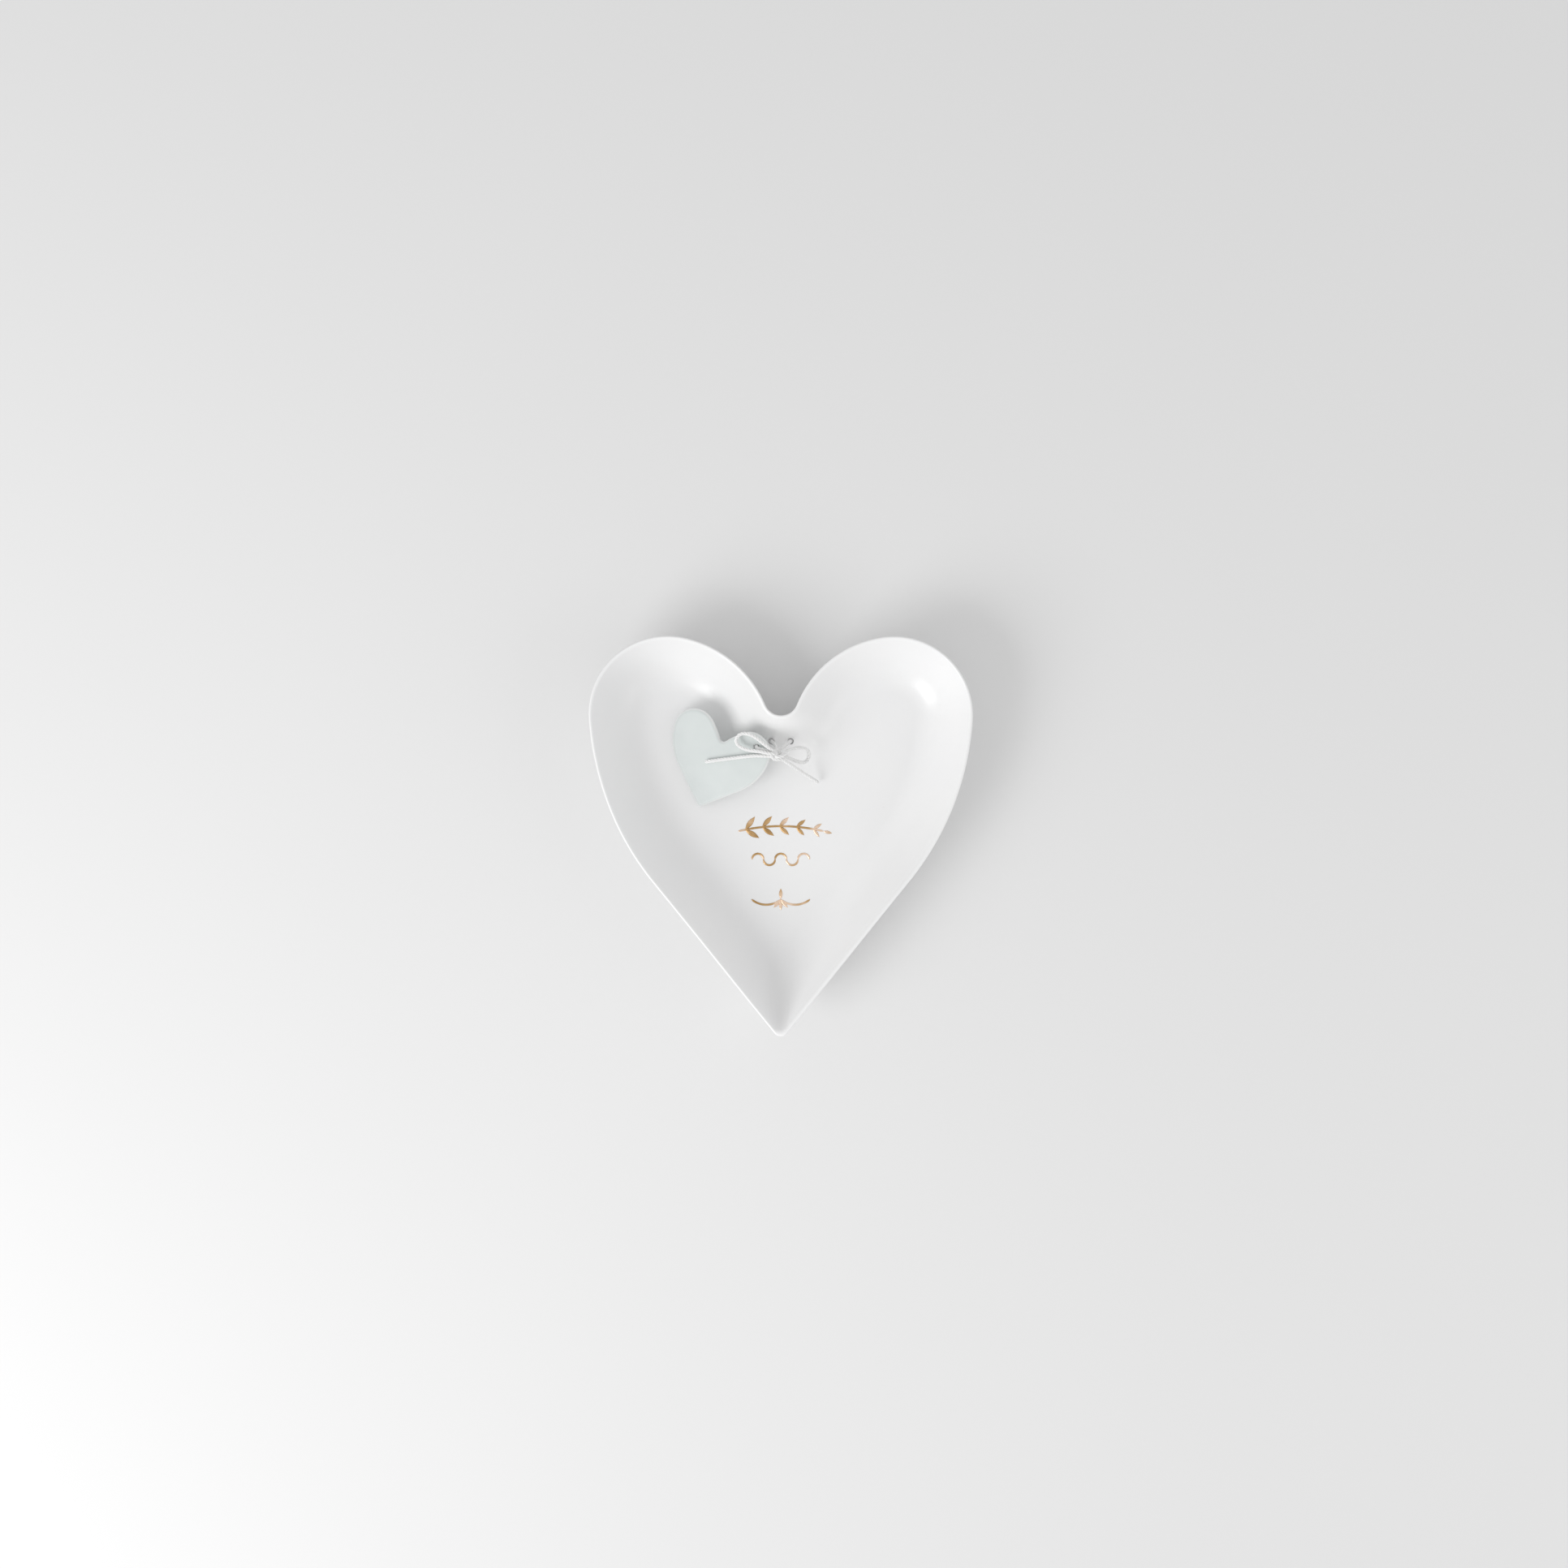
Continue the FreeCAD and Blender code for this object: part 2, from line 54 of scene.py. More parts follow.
# Rim of the dish, seen from above: tangent arcs from the cleft to the tip.
RIM = {
    "cleft_centre": 0.0450,
    "cleft_radius": 0.00525,
    "lobe_across": 0.0370,
    "lobe_along": 0.0396,
    "lobe_radius": 0.02605,
    "shoulder_radius": 0.03695,
    "flank_radius": 0.09565,
    "flank_angle": -4.2,
    "tip_corner": -0.0675,
}
RIM_TIP_RADIUS = 0.0025
RIM_TIP_SOFTENING = 0.3
RIM_COUNTS = {"cleft": 48, "shoulder": 18, "lobe": 38, "flank": 40, "side": 14, "tip": 8}

# Profile of the dish: heights, and how far things lie inside the rim.
RIM_HEIGHT = 0.0200
FLOOR_HEIGHT = 0.0035
FLOOR_INSET = 0.0190
FLOOR_MARGIN = 0.0010
INNER_LIP_INSET = 0.0013
INNER_CURVE = 2.2
OUTER_HEIGHT = 0.0012
OUTER_INSET = 0.0170
OUTER_CURVE = 2.1
FOOT_INSET = 0.0150
RECESS_INSET = 0.0175
RECESS_HEIGHT = 0.0010
FOOT_ROUND = 0.00035
LIP_START = 0.0004
LIP_CREST = 0.0008
WALL_START = 0.0018
WALL_STEP = 0.00031
WALL_RINGS = 38
FLOOR_RINGS = 10
DISH_FILL_SPACING = 0.0022

# Holes for the cord in the dish, each with a low bead of glaze round it.
DISH_HOLES = ((-0.0032, 0.0311), (0.0032, 0.0311))
DISH_HOLE_RADIUS = 0.0010
BEAD_HEIGHT = 0.00009
BEAD_RADIUS = 0.0018
BEAD_WIDTH = 0.0004

# Heart tag: its outline, its thickness and where it lies.
TAG = {
    "cleft_centre": 0.0017,
    "cleft_radius": 0.0014,
    "lobe_across": 0.0102,
    "lobe_along": 0.0002,
    "lobe_radius": 0.0071,
    "shoulder_radius": 0.0360,
    "flank_radius": 0.0184,
    "flank_angle": -2.2,
    "tip_corner": -0.0234,
}
TAG_TIP_RADIUS = 0.0008
TAG_COUNTS = {"cleft": 6, "shoulder": 16, "lobe": 40, "flank": 24, "side": 10, "tip": 6}
TAG_THICKNESS = 0.0020
TAG_MIDDLE = -0.0055
TAG_FACE_RINGS = 25
TAG_FILL_SPACING = 0.0004
TAG_ROUND = 0.00075
TAG_ROUND_STEPS = 5
TAG_INNER_TIP_RADIUS = 0.0004
# How far the lighter edge of the tag reaches from each face: thinner glaze and a painted
# highlight.
EDGE_LIGHTENING_AND_HIGHLIGHT_DEPTH = 0.00025
TAG_HOLE = (0.01185, 0.00325)
TAG_HOLE_RADIUS = 0.00105
TAG_CORNER = (-0.0190, 0.0309, 0.0096)
TAG_TURN = -21.4
TAG_LEAN = 20.5
TAG_LEAN_AZIMUTH = 21.8

# The cord: three plies twisted round its line, and the middle of its knot.
CORD_DIAMETER = 0.0011
CORD_STEP = 0.00016
CORD_PLIES = 3
PLY_PITCH = 0.0034
PLY_RADIUS = 0.36 * CORD_DIAMETER
PLY_OFFSET = 0.21 * CORD_DIAMETER
PLY_SIDES = 10
KNOT_CENTRE = Vector((-0.0018, 0.0264, 0.0177))

# The right cord: from the knot down through the left hole, under the dish,
# up through the right hole to the knot, round the right loop, and the tail.
RIGHT_CORD_ROUTE = (
    (-0.0016, 0.0268, 0.0176),
    (-0.0012, 0.0282, 0.0163),
    (-0.0018, 0.0299, 0.0127),
    (-0.0032, 0.0311, 0.0101),
    (-0.0032, 0.0311, 0.0042),
    (-0.0023, 0.0311, 0.0034),
    (0.0023, 0.0311, 0.0034),
    (0.0032, 0.0311, 0.0042),
    (0.0032, 0.0311, 0.0101),
    (0.0020, 0.0299, 0.0132),
    (0.0003, 0.0286, 0.0157),
    (-0.0006, 0.0281, 0.0161),
    (-0.0028, 0.0268, 0.0170),
    (-0.0028, 0.0260, 0.0173),
    (-0.0011, 0.0258, 0.0192),
    (0.0006, 0.0261, 0.0185),
    (0.0024, 0.0281, 0.0166),
    (0.0050, 0.0288, 0.0138),
    (0.0075, 0.0289, 0.0112),
    (0.0093, 0.0277, 0.0096),
    (0.0093, 0.0254, 0.0090),
    (0.0079, 0.0238, 0.0096),
    (0.0053, 0.0243, 0.0117),
    (0.0027, 0.0255, 0.0142),
    (0.0001, 0.0265, 0.0168),
    (-0.0010, 0.0279, 0.0170),
    (-0.0020, 0.0278, 0.0176),
    (-0.0034, 0.0263, 0.0191),
    (-0.0019, 0.0248, 0.0183),
    (0.00015, 0.0252, 0.0177),
    (0.0020, 0.0241, 0.0156),
    (0.0055, 0.0217, 0.0112),
    (0.0089, 0.0196, 0.0074),
    (0.0124, 0.0174, 0.0050),
)

# The left cord: from the knot through the tag's hole, back under the tag to
# the knot, round the left loop, and the tail that lies over the tag.
LEFT_CORD_ROUTE = (
    (-0.0020, 0.0270, 0.0176),
    (-0.0036, 0.0275, 0.0175),
    (-0.0062, 0.0282, 0.0173),
    (-0.00835, 0.02898, 0.0162),
    (-0.0070, 0.0295, 0.0123),
    (-0.0043, 0.0280, 0.0126),
    (-0.0015, 0.0271, 0.0135),
    (-0.0013, 0.0265, 0.0161),
    (-0.0013, 0.0265, 0.0179),
    (-0.0022, 0.0267, 0.0187),
    (-0.0036, 0.0269, 0.0188),
    (-0.0070, 0.0276, 0.0183),
    (-0.0106, 0.0280, 0.0171),
    (-0.0134, 0.0290, 0.0159),
    (-0.0150, 0.0311, 0.0155),
    (-0.0136, 0.0333, 0.0161),
    (-0.0110, 0.0336, 0.0170),
    (-0.0080, 0.0321, 0.0180),
    (-0.0056, 0.0301, 0.0185),
    (-0.0036, 0.0285, 0.0183),
    (-0.0017, 0.0273, 0.0179),
    (-0.0011, 0.0265, 0.0176),
    (-0.0019, 0.0261, 0.0174),
    (-0.0036, 0.0261, 0.0175),
    (-0.0083, 0.0263, 0.0160),
    (-0.0132, 0.0258, 0.0141),
    (-0.0186, 0.0251, 0.0122),
    (-0.0249, 0.0243, 0.0098),
)

# Gold strokes on the floor: width, height, depth of the edge, and step.
GOLD_STROKE = 0.0007
GOLD_RELIEF = 0.00015
GOLD_SUNK = 0.00005
GOLD_STEP = 0.00035

# The stage: half the side of the floor, and the part of it that is in view.
FLOOR_HALF = 20.0
PICTURE_WIDTH = 0.512
PICTURE_CENTRE = Vector((0.00106, 0.01696))
LENS = 85.0


# ---------------------------------------------------------------- outlines

def arc(centre, radius, start, end, count):
    """Points along an arc, from its start up to just before its end."""
    turns = [start + (end - start) * step / count for step in range(count)]
    return [Vector((centre.x + radius * math.cos(turn), centre.y + radius * math.sin(turn)))
            for turn in turns]


def heart(size, counts, inset, tip_radius):
    """A closed heart outline, inset evenly, from the cleft round by the right."""
    cleft = Vector((0, size["cleft_centre"]))
    lobe = Vector((size["lobe_across"], size["lobe_along"]))
    to_cleft = size["shoulder_radius"] + size["cleft_radius"]
    to_lobe = size["shoulder_radius"] - size["lobe_radius"]
    apart = lobe - cleft
    along = (to_cleft ** 2 - to_lobe ** 2 + apart.length ** 2) / (2 * apart.length)
    beside = math.sqrt(to_cleft ** 2 - along ** 2)
    ahead = apart.normalized()
    shoulder = cleft + ahead * along + Vector((ahead.y, -ahead.x)) * beside
    flank_turn = math.radians(size["flank_angle"])
    outward = Vector((math.cos(flank_turn), math.sin(flank_turn)))
    flank = lobe - outward * (size["flank_radius"] - size["lobe_radius"])
    to_tip = Vector((0, size["tip_corner"])) - flank
    side_turn = math.atan2(to_tip.y, to_tip.x) + math.acos(size["flank_radius"] / to_tip.length)
    tip_rise = (inset + tip_radius) / -math.sin(side_turn)
    tip = Vector((0, size["tip_corner"] + tip_rise))
    to_shoulder = shoulder - cleft
    from_shoulder = cleft - shoulder
    upward = lobe - shoulder
    cleft_turn = math.atan2(to_shoulder.y, to_shoulder.x)
    shoulder_turn = math.atan2(from_shoulder.y, from_shoulder.x)
    lobe_turn = math.atan2(upward.y, upward.x)
    below = -math.pi / 2
    half = arc(cleft, size["cleft_radius"] + inset, below, cleft_turn, counts["cleft"])
    half += arc(shoulder, size["shoulder_radius"] - inset, shoulder_turn, lobe_turn,
                counts["shoulder"])
    half += arc(lobe, size["lobe_radius"] - inset, lobe_turn, flank_turn, counts["lobe"])
    half += arc(flank, size["flank_radius"] - inset, flank_turn, side_turn, counts["flank"])
    tip_start = arc(tip, tip_radius, side_turn, below, 1)[0]
    side_start = arc(flank, size["flank_radius"] - inset, side_turn, side_turn, 1)[0]
    half += [side_start.lerp(tip_start, step / counts["side"])
             for step in range(counts["side"])]
    half += arc(tip, tip_radius, side_turn, below, counts["tip"])
    bottom = Vector((0, tip.y - tip_radius))
    mirrored = [Vector((-point.x, point.y)) for point in reversed(half[1:])]
    return half + [bottom] + mirrored


def rounded(corners, radius, steps=4):
    """A polyline with each inner corner turned into a small arc."""
    line = [corners[0]]
    for before, corner, after in zip(corners, corners[1:], corners[2:]):
        back = (before - corner).normalized()
        ahead = (after - corner).normalized()
        for step in range(steps + 1):
            t = step / steps
            start = corner + back * radius * (1 - t)
            line.append(start.lerp(corner + ahead * radius * t, t))
    return line + [corners[-1]]


def bezier(start, start_handle, end_handle, end, steps):
    """Points of a cubic curve, without its two ends."""
    line = []
    for step in range(1, steps):
        t = step / steps
        first = start.lerp(start_handle, t)
        middle = start_handle.lerp(end_handle, t)
        last = end_handle.lerp(end, t)
        line.append(first.lerp(middle, t).lerp(middle.lerp(last, t), t))
    return line


# ------------------------------------------------------------------ shells

def towards(outline, centre, height, shares):
    """Rings that shrink an outline towards a centre, at one height."""
    return [[Vector((*centre.lerp(point, share), height)) for point in outline]
            for share in shares]


def open_hole(rings, sheet, mirror, hole, radius, surface):
    """Opens a vertical round hole through two facing sheets of rings.

    Ring i of the sheet faces ring mirror - i.  surface(level, x, y) is the
    height of the lower (0) or upper (1) sheet.  Returns the cells to leave
    out and the loops of points that line the hole.
    """
    centre = Vector(hole)
    flare = 0.3 * radius
    edge = radius + flare
    cleared = 0.8 * radius
    reach = 2.8 * radius
    around = len(rings[0])
    gone = set()
    for i in sheet[:-1]:
        for j in range(around):
            corners = (rings[i][j], rings[i + 1][j], rings[i][(j + 1) % around],
                       rings[i + 1][(j + 1) % around])
            middle = sum((corner.xy for corner in corners), Vector((0, 0))) / 4
            if (middle - centre).length < cleared:
                gone.add((i, j))
    kept_edges = []
    for i, j in gone:
        sides = (((i, j), (i + 1, j), (i, j - 1)), ((i, j + 1), (i + 1, j + 1), (i, j + 1)),
                 ((i, j), (i, j + 1), (i - 1, j)), ((i + 1, j), (i + 1, j + 1), (i + 1, j)))
        for first, second, neighbour in sides:
            if (neighbour[0], neighbour[1] % around) not in gone:
                kept_edges.append(((first[0], first[1] % around),
                                   (second[0], second[1] % around)))
    rim = {point for pair in kept_edges for point in pair}
    for i in sheet:
        for j in range(around):
            away = rings[i][j].xy - centre
            if away.length >= reach or away.length < 1e-9:
                continue
            grown = edge + (away.length - cleared) * (reach - edge) / (reach - cleared)
            place = centre + away.normalized() * (edge if (i, j) in rim else grown)
            for level, ring in ((0, rings[i]), (1, rings[mirror - i])):
                ring[j] = Vector((*place, surface(level, *place)))
    lining = {}
    flare_steps = ((0.35, 0.12), (0.1, 0.4), (0.0, 1.0))
    for point in rim:
        away = (rings[point[0]][point[1]].xy - centre).normalized()
        column = []
        for level, steps in ((0, flare_steps), (1, reversed(flare_steps))):
            for share, depth in steps:
                place = centre + away * (radius + flare * share)
                rise = surface(level, *place) + (1 - 2 * level) * depth * flare
                column.append(Vector((*place, rise)))
        lining[point] = column
    return gone, kept_edges, lining


def fill_flat(mesh, ring, spacing):
    """Fills a level ring of vertices with even triangles."""
    edge = [vertex.co.xy for vertex in ring]
    height = ring[0].co.z
    columns = range(math.floor(min(point.x for point in edge) / spacing),
                    math.ceil(max(point.x for point in edge) / spacing) + 1)
    rows = range(math.floor(min(point.y for point in edge) / spacing),
                 math.ceil(max(point.y for point in edge) / spacing) + 1)
    inner = []
    for row in rows:
        for column in columns:
            point = Vector(((column + 0.5 * (row % 2)) * spacing, row * spacing))
            if min((point - other).length for other in edge) > 0.6 * spacing:
                inner.append(point)
    border = [list(range(len(edge)))]
    places, _, triangles, sources, _, _ = delaunay_2d_cdt(edge + inner, [], border, 1, 1e-7)
    corners = []
    for place, source in zip(places, sources):
        if source and source[0] < len(edge):
            corners.append(ring[source[0]])
        else:
            corners.append(mesh.verts.new((*place, height)))
    for triangle in triangles:
        mesh.faces.new([corners[index] for index in triangle])


def shell(name, rings, spacing, holes, mirror):
    """A closed mesh from rings that run from the underside to the top."""
    mesh = bmesh.new()
    around = len(rings[0])
    grid = [[mesh.verts.new(point) for point in ring] for ring in rings]
    gone = set()
    for cells, _, _ in holes:
        gone |= cells
        gone |= {(mirror - i - 1, j) for i, j in cells}
    for i in range(len(rings) - 1):
        for j in range(around):
            if (i, j) not in gone:
                after = (j + 1) % around
                mesh.faces.new((grid[i][j], grid[i][after], grid[i + 1][after],
                                grid[i + 1][j]))
    for ring in (grid[0], grid[-1]):
        fill_flat(mesh, ring, spacing)
    for _, edges, lining in holes:
        columns = {}
        for (i, j), column in lining.items():
            inside = [mesh.verts.new(point) for point in column]
            columns[(i, j)] = [grid[i][j], *inside, grid[mirror - i][j]]
        for first, second in edges:
            for step in range(len(columns[first]) - 1):
                mesh.faces.new((columns[first][step], columns[first][step + 1],
                                columns[second][step + 1], columns[second][step]))
    loose = [vertex for vertex in mesh.verts if not vertex.link_faces]
    bmesh.ops.delete(mesh, geom=loose, context="VERTS")
    bmesh.ops.recalc_face_normals(mesh, faces=mesh.faces)
    return finished(name, mesh)


def uneven(position, swells, depth):
    """A point's small shift by smooth noise, half as far up or down."""
    shift = noise.noise_vector(position * swells) * depth
    return Vector((shift.x, shift.y, 0.5 * shift.z))


def finished(name, mesh):
    """A smooth-shaded object from a bmesh."""
    data = bpy.data.meshes.new(name)
    mesh.to_mesh(data)
    mesh.free()
    data.shade_smooth()
    piece = bpy.data.objects.new(name, data)
    bpy.context.scene.collection.objects.link(piece)
    return piece


def outer_height(inset):
    """Height of the dish's outer face."""
    share = max(0.0, 1 - inset / OUTER_INSET)
    return OUTER_HEIGHT + (RIM_HEIGHT - OUTER_HEIGHT) * share ** OUTER_CURVE


def inner_height(inset):
    """Height of the dish's inner face."""
    share = max(0.0, (FLOOR_INSET - inset) / (FLOOR_INSET - INNER_LIP_INSET))
    return FLOOR_HEIGHT + (RIM_HEIGHT - FLOOR_HEIGHT) * share ** INNER_CURVE


def lip_profile():
    """The rounded lip, from the outer face over the top to the inner face."""
    outside = Vector((LIP_START, outer_height(LIP_START)))
    crest = Vector((LIP_CREST, RIM_HEIGHT))
    inside = Vector((WALL_START, inner_height(WALL_START)))
    up_outside, up_inside = Vector((-0.0002, 0.00047)), Vector((-0.00026, 0.00055))
    to_crest, from_crest = Vector((0.0003, 0)), Vector((0.0004, 0))
    line = bezier(outside, outside + up_outside, crest - to_crest, crest, 7)
    line.append(crest)
    line += bezier(crest, crest + from_crest, inside + up_inside, inside, 8)
    return [outside] + line


def make_dish():
    """The dish as one shell, slightly uneven, with its two rounded holes."""
    wall = [WALL_START + WALL_STEP * step for step in range(WALL_RINGS)]
    foot = rounded([Vector((inset, height)) for inset, height in (
        (RECESS_INSET + FLOOR_MARGIN, RECESS_HEIGHT), (RECESS_INSET, RECESS_HEIGHT),
        (RECESS_INSET, 0.0), (FOOT_INSET, 0.0), (FOOT_INSET, outer_height(FOOT_INSET)),
        (wall[-1], outer_height(wall[-1])))], FOOT_ROUND)
    profile = foot[:-1]
    first_wall_ring = len(profile)
    profile += [Vector((inset, outer_height(inset))) for inset in reversed(wall)]
    profile += [Vector((inset, outer_height(inset)))
                for inset in (INNER_LIP_INSET, LIP_CREST)]
    profile += lip_profile()
    first_inner_ring = len(profile)
    profile += [Vector((inset, inner_height(inset))) for inset in wall]
    for step in range(1, FLOOR_RINGS + 1):
        inset = wall[-1] + (FLOOR_INSET - wall[-1]) * step / FLOOR_RINGS
        profile.append(Vector((inset, inner_height(inset))))
    profile.append(Vector((FLOOR_INSET + FLOOR_MARGIN, FLOOR_HEIGHT)))

    def ring(inset, height):
        tip_radius = RIM_TIP_RADIUS + RIM_TIP_SOFTENING * inset
        outline = heart(RIM, RIM_COUNTS, inset, tip_radius)
        return [Vector((*point, height)) for point in outline]

    rings = [ring(*point) for point in profile]
    sheet = range(first_wall_ring, first_wall_ring + WALL_RINGS)
    mirror = first_wall_ring + first_inner_ring + WALL_RINGS - 1

    def surface(level, x, y):
        """Height of a face near the cleft, with a bead of glaze at each hole."""
        inset = math.hypot(x, y - RIM["cleft_centre"]) - RIM["cleft_radius"]
        if level == 0:
            return outer_height(inset)
        bead = 0.0
        for hole in DISH_HOLES:
            away = math.hypot(x - hole[0], y - hole[1])
            bead += BEAD_HEIGHT * math.exp(-((away - BEAD_RADIUS) / BEAD_WIDTH) ** 2)
        return inner_height(inset) + bead

    holes = [open_hole(rings, sheet, mirror, hole, DISH_HOLE_RADIUS, surface)
             for hole in DISH_HOLES]
    dish = shell("porcelain_dish", rings, DISH_FILL_SPACING, holes, mirror)
    for vertex in dish.data.vertices:
        share = vertex.co.z / RIM_HEIGHT
        vertex.co += uneven(vertex.co, DISH_SWELLS, DISH_UNEVENNESS * share)
    return dish


def make_tag():
    """The leaning heart tag, rounded at its edges and at its hole.

    Its edge attribute is 1 over the rounded edge, where the glaze runs thin and a highlight is
    painted, and 0 on the faces.
    """
    outline = heart(TAG, TAG_COUNTS, 0.0, TAG_TIP_RADIUS)
    inner = heart(TAG, TAG_COUNTS, TAG_ROUND, TAG_INNER_TIP_RADIUS)
    centre = Vector((0, TAG_MIDDLE))
    shares = [step / (TAG_FACE_RINGS + 1) for step in range(1, TAG_FACE_RINGS + 1)]
    rings = towards(inner, centre, 0.0, shares)
    for step in range(2 * TAG_ROUND_STEPS + 1):
        turn = math.pi * step / (2 * TAG_ROUND_STEPS)
        level = TAG_ROUND if step <= TAG_ROUND_STEPS else TAG_THICKNESS - TAG_ROUND
        height = level - TAG_ROUND * math.cos(turn)
        rings.append([Vector((*outer.lerp(inside, 1 - math.sin(turn)), height))
                      for outer, inside in zip(outline, inner)])
    rings += towards(inner, centre, TAG_THICKNESS, reversed(shares))
    mirror = len(rings) - 1
    sheet = range(2, TAG_FACE_RINGS + 1)

    def surface(level, x, y):
        """Height of the flat underside or top."""
        return level * TAG_THICKNESS

    holes = [open_hole(rings, sheet, mirror, TAG_HOLE, TAG_HOLE_RADIUS, surface)]
    tag = shell("heart_tag_glazed", rings, TAG_FILL_SPACING, holes, mirror)
    # The edge is lighter for thinner glaze and for a painted highlight.
    edge_lightening_and_highlight = tag.data.attributes.new("thin_glaze_and_edge_highlight", "FLOAT", "POINT")
    for vertex, value in zip(tag.data.vertices, edge_lightening_and_highlight.data):
        depth = min(vertex.co.z, TAG_THICKNESS - vertex.co.z)
        value.value = min(1.0, max(0.0, depth / EDGE_LIGHTENING_AND_HIGHLIGHT_DEPTH))
    for vertex in tag.data.vertices:
        vertex.co += uneven(vertex.co, TAG_SWELLS, TAG_UNEVENNESS)
    azimuth = math.radians(TAG_LEAN_AZIMUTH)
    level_axis = Vector((math.sin(azimuth), -math.cos(azimuth), 0))
    lean = Matrix.Rotation(math.radians(TAG_LEAN), 4, level_axis)
    turn = Matrix.Rotation(math.radians(TAG_TURN), 4, "Z")
    tag.data.transform(Matrix.Translation(TAG_CORNER) @ lean @ turn)
    return tag


# ------------------------------------------------------------------- cords

def spline_line(route):
    """The smooth line of a route: points read from its NURBS spline."""
    curve = bpy.data.curves.new("route", "CURVE")
    curve.dimensions = "3D"
    spline = curve.splines.new("NURBS")
    spline.points.add(len(route) - 1)
    for point, place in zip(spline.points, route):
        point.co = (*place, 1.0)
    spline.order_u = 3
    spline.use_endpoint_u = True
    spline.resolution_u = 16
    holder = bpy.data.objects.new("route", curve)
    line_mesh = bpy.data.meshes.new_from_object(holder)
    line = [vertex.co.copy() for vertex in line_mesh.vertices]
    bpy.data.meshes.remove(line_mesh)
    bpy.data.objects.remove(holder)
    bpy.data.curves.remove(curve)
    return line


def evenly(line, step):
    """The same line with its points a small even step apart."""
    lengths = [0.0]
    for before, after in zip(line, line[1:]):
        lengths.append(lengths[-1] + (after - before).length)
    count = max(2, round(lengths[-1] / step))
    points = []
    index = 0
    for number in range(count + 1):
        target = lengths[-1] * number / count
        while index < len(line) - 2 and lengths[index + 1] < target:
            index += 1
        span = max(1e-9, lengths[index + 1] - lengths[index])
        share = min(1.0, (target - lengths[index]) / span)
        points.append(line[index].lerp(line[index + 1], share))
    return points


def twisted_cord(name, route):
    """Plies twisted round the route's line, as one mesh, and the line itself."""
    end_taper, taper_gain = 0.55, 0.15
    line = evenly(spline_line(route), CORD_STEP)
    mesh = bmesh.new()
    tangents = []
    for number in range(len(line)):
        ahead = line[min(number + 1, len(line) - 1)] - line[max(number - 1, 0)]
        tangents.append(ahead.normalized())
    side = tangents[0].orthogonal().normalized()
    frames = []
    for tangent in tangents:
        side = (side - tangent * side.dot(tangent)).normalized()
        frames.append((side, tangent.cross(side)))
    for ply in range(CORD_PLIES):
        rings = []
        for number, place in enumerate(line):
            across, up = frames[number]
            twist = 2 * math.pi * (number * CORD_STEP / PLY_PITCH + ply / CORD_PLIES)
            from_end = min(number, len(line) - 1 - number)
            taper = min(1.0, end_taper + taper_gain * from_end)
            centre = place + (across * math.cos(twist) + up * math.sin(twist)) * PLY_OFFSET
            ring = []
            for corner in range(PLY_SIDES):
                turn = 2 * math.pi * corner / PLY_SIDES + twist
                reach = (across * math.cos(turn) + up * math.sin(turn)) * PLY_RADIUS * taper
                ring.append(mesh.verts.new(centre + reach))
            rings.append(ring)
        for before, after in zip(rings, rings[1:]):
            for corner in range(PLY_SIDES):
                follow = (corner + 1) % PLY_SIDES
                mesh.faces.new((before[corner], before[follow], after[follow], after[corner]))
        mesh.faces.new(rings[0])
        mesh.faces.new(rings[-1])
    bmesh.ops.recalc_face_normals(mesh, faces=mesh.faces)
    return finished(name, mesh), line


def knot_route():
    """Two close turns round the middle of the bow, their ends tucked in."""
    turns = 2.25
    steps = 18
    across, high = 0.00098, 0.00078
    first_turn = -0.6 * math.pi
    length = 1.5 * CORD_DIAMETER
    route = [KNOT_CENTRE + Vector((-0.0005, 0.0002, -0.0002))]
    for step in range(steps + 1):
        turn = first_turn + 2 * math.pi * turns * step / steps
        shift = (step / steps - 0.5) * length
        route.append(KNOT_CENTRE + Vector((shift, across * math.cos(turn),
                                           high * math.sin(turn))))
    route.append(KNOT_CENTRE + Vector((0.0004, -0.0002, -0.0003)))
    return route


# ------------------------------------------------------------ gold strokes

def gold_band(mesh, line, widths):
    """A closed, softly domed stroke along a line on the floor."""
    lanes = 6
    full_height_width = 0.6 * GOLD_STROKE
    rows = []
    for number, (place, width) in enumerate(zip(line, widths)):
        ahead = line[min(number + 1, len(line) - 1)] - line[max(number - 1, 0)]
        aside = Vector((-ahead.y, ahead.x)).normalized()
        row = []
        for lane in range(lanes + 1):
            share = 2 * lane / lanes - 1
            dome = math.sqrt(max(0.0, 1 - share ** 2))
            relief = GOLD_RELIEF * dome * min(1.0, width / full_height_width)
            point = place + aside * share * width / 2
            row.append(mesh.verts.new((*point, FLOOR_HEIGHT + relief)))
        under = []
        for share in (0.8, -0.8):
            point = place + aside * share * width / 2
            under.append(mesh.verts.new((*point, FLOOR_HEIGHT - GOLD_SUNK)))
        rows.append(row + under)
    for before, after in zip(rows, rows[1:]):
        for lane in range(len(before)):
            follow = (lane + 1) % len(before)
            mesh.faces.new((before[lane], before[follow], after[follow], after[lane]))
    mesh.faces.new(rows[0])
    mesh.faces.new(rows[-1])


def gold_arc(mesh, centre, radius, start, end):
    """A stroke of even width along an arc, rounded off at its ends."""
    end_width, width_gain = 0.45, 0.28
    count = max(8, round(radius * abs(end - start) / GOLD_STEP))
    line = arc(centre, radius, start, end, count) + arc(centre, radius, end, end, 1)
    widths = []
    for number in range(len(line)):
        from_end = min(number, len(line) - 1 - number)
        widths.append(GOLD_STROKE * min(1.0, end_width + width_gain * from_end))
    gold_band(mesh, line, widths)


